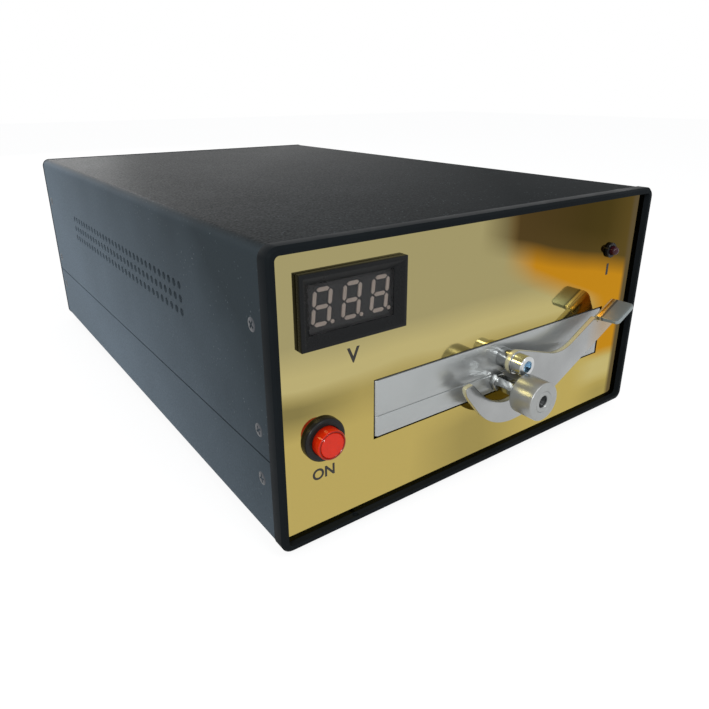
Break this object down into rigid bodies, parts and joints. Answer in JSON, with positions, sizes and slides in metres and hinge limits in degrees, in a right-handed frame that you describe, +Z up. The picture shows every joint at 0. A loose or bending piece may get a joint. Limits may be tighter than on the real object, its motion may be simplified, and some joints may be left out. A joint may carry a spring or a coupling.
{
  "type": "flash stamp machine",
  "caption": "Desk-top flash exposure box with a pull-out drawer cassette, glass clamp, hook latch lever, voltmeter, start button and vented steel case",
  "frame": {"origin": "on the resting plane, under the middle of the whole object's width and depth, from the knob to the fuse cap", "axes": "+Z up; +X to the right seen from the front; the front panel faces -Y and the depth runs along Y"},
  "size_m": [0.226, 0.3842, 0.126],
  "materials": {
    "case_steel": "satin powder coat",
    "black_frame": "moulded, satin",
    "gold_panel": "polished gold-coloured sheet",
    "rear_sheet": "fine-textured paint",
    "black_screws": "blackened",
    "screw_steel": "zinc-plated",
    "foot_rubber": "matte",
    "meter_black": "glossy",
    "smoked_window": "smoked, clear",
    "display_block": "moulded",
    "display_bars": "diffusing",
    "circuit_board": "laminate",
    "button_black": "glossy",
    "button_red": "glossy",
    "spring_steel": "drawn wire",
    "lamp_black": "glossy",
    "lamp_lens": "translucent dark red",
    "plated_sheet": "zinc-plated sheet",
    "rail_plastic": "low-friction moulding",
    "reflector_sheet": "bright-anodised",
    "tube_glass": "clear",
    "ceramic": "glazed ceramic",
    "coil_lacquer": "lacquered winding",
    "can_sleeve": "shrink sleeve",
    "core_iron": "stacked sheets",
    "standoff_nylon": "nylon",
    "inlet_black": "moulded",
    "drawer_silver": "polished",
    "tray_metal": "milled",
    "cushion_foam": "fine foam",
    "bright_steel": "bright plated",
    "turned_aluminium": "turned",
    "clear_glass": "clear plate"
  },
  "bodies": {
    "case": {"base_tray": "case_steel", "top_cover": "case_steel", "front_bezel": "black_frame", "rear_frame": "black_frame", "front_panel": "gold_panel", "rear_panel": "rear_sheet", "side_screws": "black_screws", "rubber_feet": "foot_rubber", "foot_screws": "screw_steel", "foot_nuts": "screw_steel", "meter_case": "meter_black", "meter_window": "smoked_window", "meter_block": "display_block", "meter_digits": "display_bars", "meter_board": "circuit_board", "button_body": "button_black", "button_nut": "button_black", "button_spring": "spring_steel", "lamp_ring": "lamp_black", "lamp_lens": "lamp_lens", "lamp_nut": "lamp_black", "support_deck": "plated_sheet", "slide_rails": "rail_plastic", "drawer_stop": "plated_sheet", "reflector": "reflector_sheet", "flash_tubes": "tube_glass", "tube_holders": "ceramic", "lamp_brackets": "plated_sheet", "trigger_coil": "coil_lacquer", "capacitors": "can_sleeve", "capacitor_strap": "plated_sheet", "transformer_core": "core_iron", "transformer_coil": "coil_lacquer", "charging_board": "circuit_board", "board_standoffs": "standoff_nylon", "power_inlet": "inlet_black", "inlet_screws": "screw_steel", "fuse_holder": "inlet_black", "fuse_nut": "inlet_black", "switch_body": "inlet_black"},
    "cassette": {"lower_bar": "drawer_silver", "tray": "tray_metal", "tray_screws": "screw_steel", "tray_cushion": "cushion_foam", "hinge_pins": "bright_steel", "knob_shaft": "bright_steel", "shaft_nut": "bright_steel", "pull_knob": "turned_aluminium"},
    "clamp": {"upper_bar": "drawer_silver", "clamp_frame": "tray_metal", "clamp_screws": "screw_steel", "exposure_glass": "clear_glass", "glass_clips": "tray_metal", "clip_screws": "screw_steel", "pivot_spacer": "bright_steel", "pivot_screw": "bright_steel"},
    "lever": {"latch_lever": "bright_steel"},
    "start_button": {"button_cap": "button_red"},
    "rocker": {"power_rocker": "inlet_black"},
    "fuse": {"fuse_cap": "inlet_black"}
  },
  "joints": [
    {"name": "drawer_slide", "type": "slide", "parent": "case", "child": "cassette", "axis": [0, -1, 0], "range_m": [0, 0.155]},
    {"name": "clamp_hinge", "type": "hinge", "parent": "cassette", "child": "clamp", "pos_m": [0.0092, -0.01827, 0.05208], "axis": [-1, 0, 0], "range_deg": [0, 0.15]},
    {"name": "latch_turn", "type": "hinge", "parent": "clamp", "child": "lever", "pos_m": [0.0089, -0.17103, 0.0563], "axis": [0, -1, 0], "range_deg": [-25, 105]},
    {"name": "start_press", "type": "slide", "parent": "case", "child": "start_button", "axis": [0, 1, 0], "range_m": [0, 0.0025], "stiffness_N_per_m": 400, "springref_m": -0.001, "deforming": ["button_spring"]},
    {"name": "power_rock", "type": "hinge", "parent": "case", "child": "rocker", "pos_m": [-0.008, 0.18482, 0.044], "axis": [-1, 0, 0], "range_deg": [0, 16]},
    {"name": "fuse_turn", "type": "hinge", "parent": "case", "child": "fuse", "pos_m": [0.026, 0.18752, 0.044], "axis": [0, 1, 0], "range_deg": [0, 45]}
  ]
}
